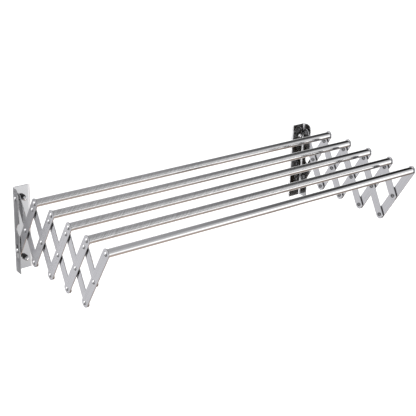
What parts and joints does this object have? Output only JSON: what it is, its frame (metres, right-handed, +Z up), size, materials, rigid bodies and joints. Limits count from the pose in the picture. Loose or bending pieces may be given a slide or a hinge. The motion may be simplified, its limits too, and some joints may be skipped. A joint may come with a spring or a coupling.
{
  "type": "wall mounted pull-out drying rack",
  "caption": "Wall-mounted pull-out drying rack: two scissor arms of flat steel bar on pressed wall brackets carry parallel hanging tubes and push back against the wall.",
  "frame": {"origin": "middle of the four wall studs, on the plane of the wall", "axes": "+X along the wall and along the tubes, +Y into the wall, so the rack pulls out along -Y, +Z up"},
  "size_m": [0.7754, 0.376, 0.1895],
  "materials": {
    "bracket_sheet": "polished stainless sheet",
    "link_bar": "satin brushed stainless flat bar",
    "tube_steel": "polished stainless tube",
    "rivet_steel": "polished domed heads",
    "washer_steel": "plain stamped washers",
    "stud_steel": "zinc plated",
    "nut_steel": "polished dome nut",
    "plug_plastic": "moulded black plastic, hidden inside the tubes"
  },
  "bodies": {
    "wall_frame": {"left_bracket": "bracket_sheet", "right_bracket": "bracket_sheet", "wall_studs": "stud_steel", "wall_stud_washers": "stud_steel", "wall_dome_nuts": "nut_steel", "top_pivot_rivets": "rivet_steel", "top_pivot_spacers": "washer_steel"},
    "long_links_1": {"left_long_link_1": "link_bar", "right_long_link_1": "link_bar", "tube_1": "tube_steel", "tube_plugs_1": "plug_plastic", "tube_screws_1": "rivet_steel", "link_rivets_1": "rivet_steel", "link_washers_1": "washer_steel", "slot_pins": "rivet_steel", "slot_washers": "washer_steel"},
    "left_cross_1": {"left_cross_link_1": "link_bar"},
    "right_cross_1": {"right_cross_link_1": "link_bar"},
    "long_links_2": {"left_long_link_2": "link_bar", "right_long_link_2": "link_bar", "tube_2": "tube_steel", "tube_plugs_2": "plug_plastic", "tube_screws_2": "rivet_steel", "link_rivets_2": "rivet_steel", "link_washers_2": "washer_steel"},
    "left_cross_2": {"left_cross_link_2": "link_bar"},
    "right_cross_2": {"right_cross_link_2": "link_bar"},
    "long_links_3": {"left_long_link_3": "link_bar", "right_long_link_3": "link_bar", "tube_3": "tube_steel", "tube_plugs_3": "plug_plastic", "tube_screws_3": "rivet_steel", "link_rivets_3": "rivet_steel", "link_washers_3": "washer_steel"},
    "left_cross_3": {"left_cross_link_3": "link_bar"},
    "right_cross_3": {"right_cross_link_3": "link_bar"},
    "long_links_4": {"left_long_link_4": "link_bar", "right_long_link_4": "link_bar", "tube_4": "tube_steel", "tube_plugs_4": "plug_plastic", "tube_screws_4": "rivet_steel", "link_rivets_4": "rivet_steel", "link_washers_4": "washer_steel"},
    "left_cross_4": {"left_cross_link_4": "link_bar"},
    "right_cross_4": {"right_cross_link_4": "link_bar"},
    "long_links_5": {"left_long_link_5": "link_bar", "right_long_link_5": "link_bar", "tube_5": "tube_steel", "tube_plugs_5": "plug_plastic", "tube_screws_5": "rivet_steel", "link_rivets_5": "rivet_steel", "link_washers_5": "washer_steel"},
    "left_cross_5": {"left_cross_link_5": "link_bar"},
    "right_cross_5": {"right_cross_link_5": "link_bar"}
  },
  "joints": [
    {"name": "rack_fold", "type": "hinge", "parent": "wall_frame", "child": "left_cross_1", "pos_m": [-0.381, -0.014, 0.0715], "axis": [1, 0, 0], "range_deg": [-8.2, 20.5]},
    {"name": "right_top_pivot", "type": "hinge", "parent": "wall_frame", "child": "right_cross_1", "pos_m": [0.381, -0.014, 0.0715], "axis": [1, 0, 0], "range_deg": [-8.2, 20.5]},
    {"name": "middle_pivot_1", "type": "hinge", "parent": "left_cross_1", "child": "long_links_1", "pos_m": [-0.381, -0.04675, 0.01478], "axis": [1, 0, 0], "range_deg": [-41, 16.4]},
    {"name": "left_upper_pivot_1", "type": "hinge", "parent": "long_links_1", "child": "left_cross_2", "pos_m": [-0.381, -0.0795, 0.0715], "axis": [1, 0, 0], "range_deg": [-16.4, 41]},
    {"name": "right_upper_pivot_1", "type": "hinge", "parent": "long_links_1", "child": "right_cross_2", "pos_m": [0.381, -0.0795, 0.0715], "axis": [1, 0, 0], "range_deg": [-16.4, 41]},
    {"name": "middle_pivot_2", "type": "hinge", "parent": "left_cross_2", "child": "long_links_2", "pos_m": [-0.381, -0.11225, 0.01478], "axis": [1, 0, 0], "range_deg": [-41, 16.4]},
    {"name": "left_upper_pivot_2", "type": "hinge", "parent": "long_links_2", "child": "left_cross_3", "pos_m": [-0.381, -0.145, 0.0715], "axis": [1, 0, 0], "range_deg": [-16.4, 41]},
    {"name": "right_upper_pivot_2", "type": "hinge", "parent": "long_links_2", "child": "right_cross_3", "pos_m": [0.381, -0.145, 0.0715], "axis": [1, 0, 0], "range_deg": [-16.4, 41]},
    {"name": "middle_pivot_3", "type": "hinge", "parent": "left_cross_3", "child": "long_links_3", "pos_m": [-0.381, -0.17775, 0.01478], "axis": [1, 0, 0], "range_deg": [-41, 16.4]},
    {"name": "left_upper_pivot_3", "type": "hinge", "parent": "long_links_3", "child": "left_cross_4", "pos_m": [-0.381, -0.2105, 0.0715], "axis": [1, 0, 0], "range_deg": [-16.4, 41]},
    {"name": "right_upper_pivot_3", "type": "hinge", "parent": "long_links_3", "child": "right_cross_4", "pos_m": [0.381, -0.2105, 0.0715], "axis": [1, 0, 0], "range_deg": [-16.4, 41]},
    {"name": "middle_pivot_4", "type": "hinge", "parent": "left_cross_4", "child": "long_links_4", "pos_m": [-0.381, -0.24325, 0.01478], "axis": [1, 0, 0], "range_deg": [-41, 16.4]},
    {"name": "left_upper_pivot_4", "type": "hinge", "parent": "long_links_4", "child": "left_cross_5", "pos_m": [-0.381, -0.276, 0.0715], "axis": [1, 0, 0], "range_deg": [-16.4, 41]},
    {"name": "right_upper_pivot_4", "type": "hinge", "parent": "long_links_4", "child": "right_cross_5", "pos_m": [0.381, -0.276, 0.0715], "axis": [1, 0, 0], "range_deg": [-16.4, 41]},
    {"name": "middle_pivot_5", "type": "hinge", "parent": "left_cross_5", "child": "long_links_5", "pos_m": [-0.381, -0.30875, 0.01478], "axis": [1, 0, 0], "range_deg": [-41, 16.4]}
  ],
  "couplings": [
    {"joint": "right_top_pivot", "follows": "rack_fold", "ratio": 1},
    {"joint": "middle_pivot_1", "follows": "rack_fold", "ratio": -2},
    {"joint": "left_upper_pivot_1", "follows": "rack_fold", "ratio": 2},
    {"joint": "right_upper_pivot_1", "follows": "rack_fold", "ratio": 2},
    {"joint": "middle_pivot_2", "follows": "rack_fold", "ratio": -2},
    {"joint": "left_upper_pivot_2", "follows": "rack_fold", "ratio": 2},
    {"joint": "right_upper_pivot_2", "follows": "rack_fold", "ratio": 2},
    {"joint": "middle_pivot_3", "follows": "rack_fold", "ratio": -2},
    {"joint": "left_upper_pivot_3", "follows": "rack_fold", "ratio": 2},
    {"joint": "right_upper_pivot_3", "follows": "rack_fold", "ratio": 2},
    {"joint": "middle_pivot_4", "follows": "rack_fold", "ratio": -2},
    {"joint": "left_upper_pivot_4", "follows": "rack_fold", "ratio": 2},
    {"joint": "right_upper_pivot_4", "follows": "rack_fold", "ratio": 2},
    {"joint": "middle_pivot_5", "follows": "rack_fold", "ratio": -2}
  ]
}
